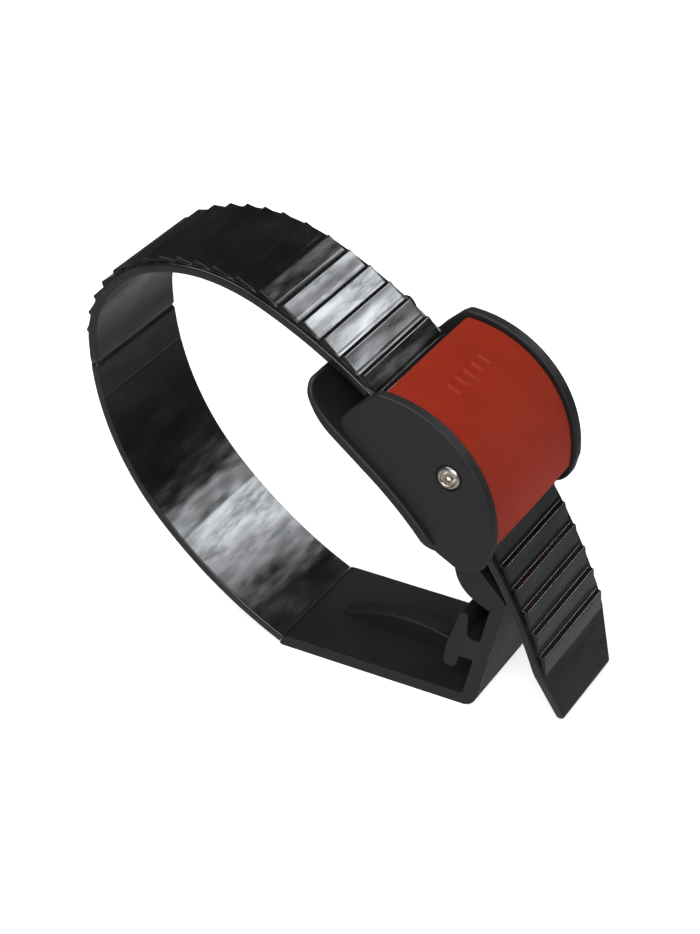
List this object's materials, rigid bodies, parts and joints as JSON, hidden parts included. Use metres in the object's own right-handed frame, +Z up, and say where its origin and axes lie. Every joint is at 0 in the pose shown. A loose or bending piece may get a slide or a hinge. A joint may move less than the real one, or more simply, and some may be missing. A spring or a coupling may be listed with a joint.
{
  "type": "ratchet band tourniquet",
  "caption": "Ratchet tourniquet: a black toothed band looped through a matte buckle with a limb plate, held by a pawl under a red release lever on a rivet.",
  "frame": {"origin": "on the flat underside of the limb plate, on the part's mid-plane", "axes": "+Z up, away from the surface the plate lies on; +X along the plate towards the buckle wall and the band's tail; Y along the band's width"},
  "size_m": [0.0921, 0.0364, 0.0719],
  "materials": {
    "frame_nylon": "matte",
    "lever_red": "satin",
    "spring_steel": "polished",
    "rivet_nickel": "polished",
    "band_black": "gloss"
  },
  "bodies": {
    "frame": {"buckle_frame": "frame_nylon", "pivot_rivet": "rivet_nickel", "return_spring": "spring_steel"},
    "lever": {"release_lever": "lever_red", "lever_pawl": "frame_nylon"},
    "band_tail": {"band_tail": "band_black"},
    "band_link_1": {"band_link_1": "band_black"},
    "band_link_2": {"band_link_2": "band_black"},
    "band_link_3": {"band_link_3": "band_black"},
    "band_link_4": {"band_link_4": "band_black"},
    "band_link_5": {"band_link_5": "band_black"},
    "band_link_6": {"band_link_6": "band_black"},
    "band_link_7": {"band_link_7": "band_black"},
    "band_link_8": {"band_link_8": "band_black"},
    "band_end": {"band_end": "band_black"}
  },
  "joints": [
    {"name": "band_slide", "type": "hinge", "parent": "frame", "child": "band_tail", "pos_m": [-0.06064, 0, -0.01976], "axis": [0, 1, 0], "range_deg": [-7.86, 2.62], "deforming": ["lever_pawl"]},
    {"name": "press_lever", "type": "hinge", "parent": "frame", "child": "lever", "pos_m": [0.0141, 0, 0.0478], "axis": [0, -1, 0], "range_deg": [0, 7], "stiffness_Nm_per_rad": 0.1, "springref_deg": -17.19, "deforming": ["return_spring"]},
    {"name": "band_flex_1", "type": "hinge", "parent": "band_tail", "child": "band_link_1", "pos_m": [-0.0216, 0, 0.06672], "axis": [0, 1, 0], "range_deg": [-6.71, 2.24]},
    {"name": "band_flex_2", "type": "hinge", "parent": "band_link_1", "child": "band_link_2", "pos_m": [-0.03428, 0, 0.07009], "axis": [0, 1, 0], "range_deg": [-0.85, 0.29]},
    {"name": "band_flex_3", "type": "hinge", "parent": "band_link_2", "child": "band_link_3", "pos_m": [-0.04722, 0, 0.06759], "axis": [0, 1, 0], "range_deg": [-0.224, 0.652]},
    {"name": "band_flex_4", "type": "hinge", "parent": "band_link_3", "child": "band_link_4", "pos_m": [-0.05609, 0, 0.05783], "axis": [0, 1, 0], "range_deg": [-0.204, 0.591]},
    {"name": "band_flex_5", "type": "hinge", "parent": "band_link_4", "child": "band_link_5", "pos_m": [-0.05674, 0, 0.04469], "axis": [0, 1, 0], "range_deg": [-0.222, 0.646]},
    {"name": "band_flex_6", "type": "hinge", "parent": "band_link_5", "child": "band_link_6", "pos_m": [-0.05306, 0, 0.03214], "axis": [0, 1, 0], "range_deg": [-0.72, 2.15]},
    {"name": "band_flex_7", "type": "hinge", "parent": "band_link_6", "child": "band_link_7", "pos_m": [-0.04616, 0, 0.02104], "axis": [0, 1, 0], "range_deg": [-1.83, 5.47]},
    {"name": "band_flex_8", "type": "hinge", "parent": "band_link_7", "child": "band_link_8", "pos_m": [-0.03689, 0, 0.01188], "axis": [0, 1, 0], "range_deg": [-2.07, 6.19]},
    {"name": "band_flex_9", "type": "hinge", "parent": "band_link_8", "child": "band_end", "pos_m": [-0.02623, 0, 0.0044], "axis": [0, 1, 0], "range_deg": [-0.062, 0.165]}
  ],
  "couplings": [
    {"joint": "band_flex_1", "follows": "band_slide", "ratio": 0.8123},
    {"joint": "band_flex_2", "follows": "band_slide", "ratio": 0.1015},
    {"joint": "band_flex_3", "follows": "band_slide", "ratio": -0.0778},
    {"joint": "band_flex_4", "follows": "band_slide", "ratio": -0.0704},
    {"joint": "band_flex_5", "follows": "band_slide", "ratio": -0.0771},
    {"joint": "band_flex_6", "follows": "band_slide", "ratio": -0.2588},
    {"joint": "band_flex_7", "follows": "band_slide", "ratio": -0.662},
    {"joint": "band_flex_8", "follows": "band_slide", "ratio": -0.7489},
    {"joint": "band_flex_9", "follows": "band_slide", "ratio": -0.0188}
  ]
}
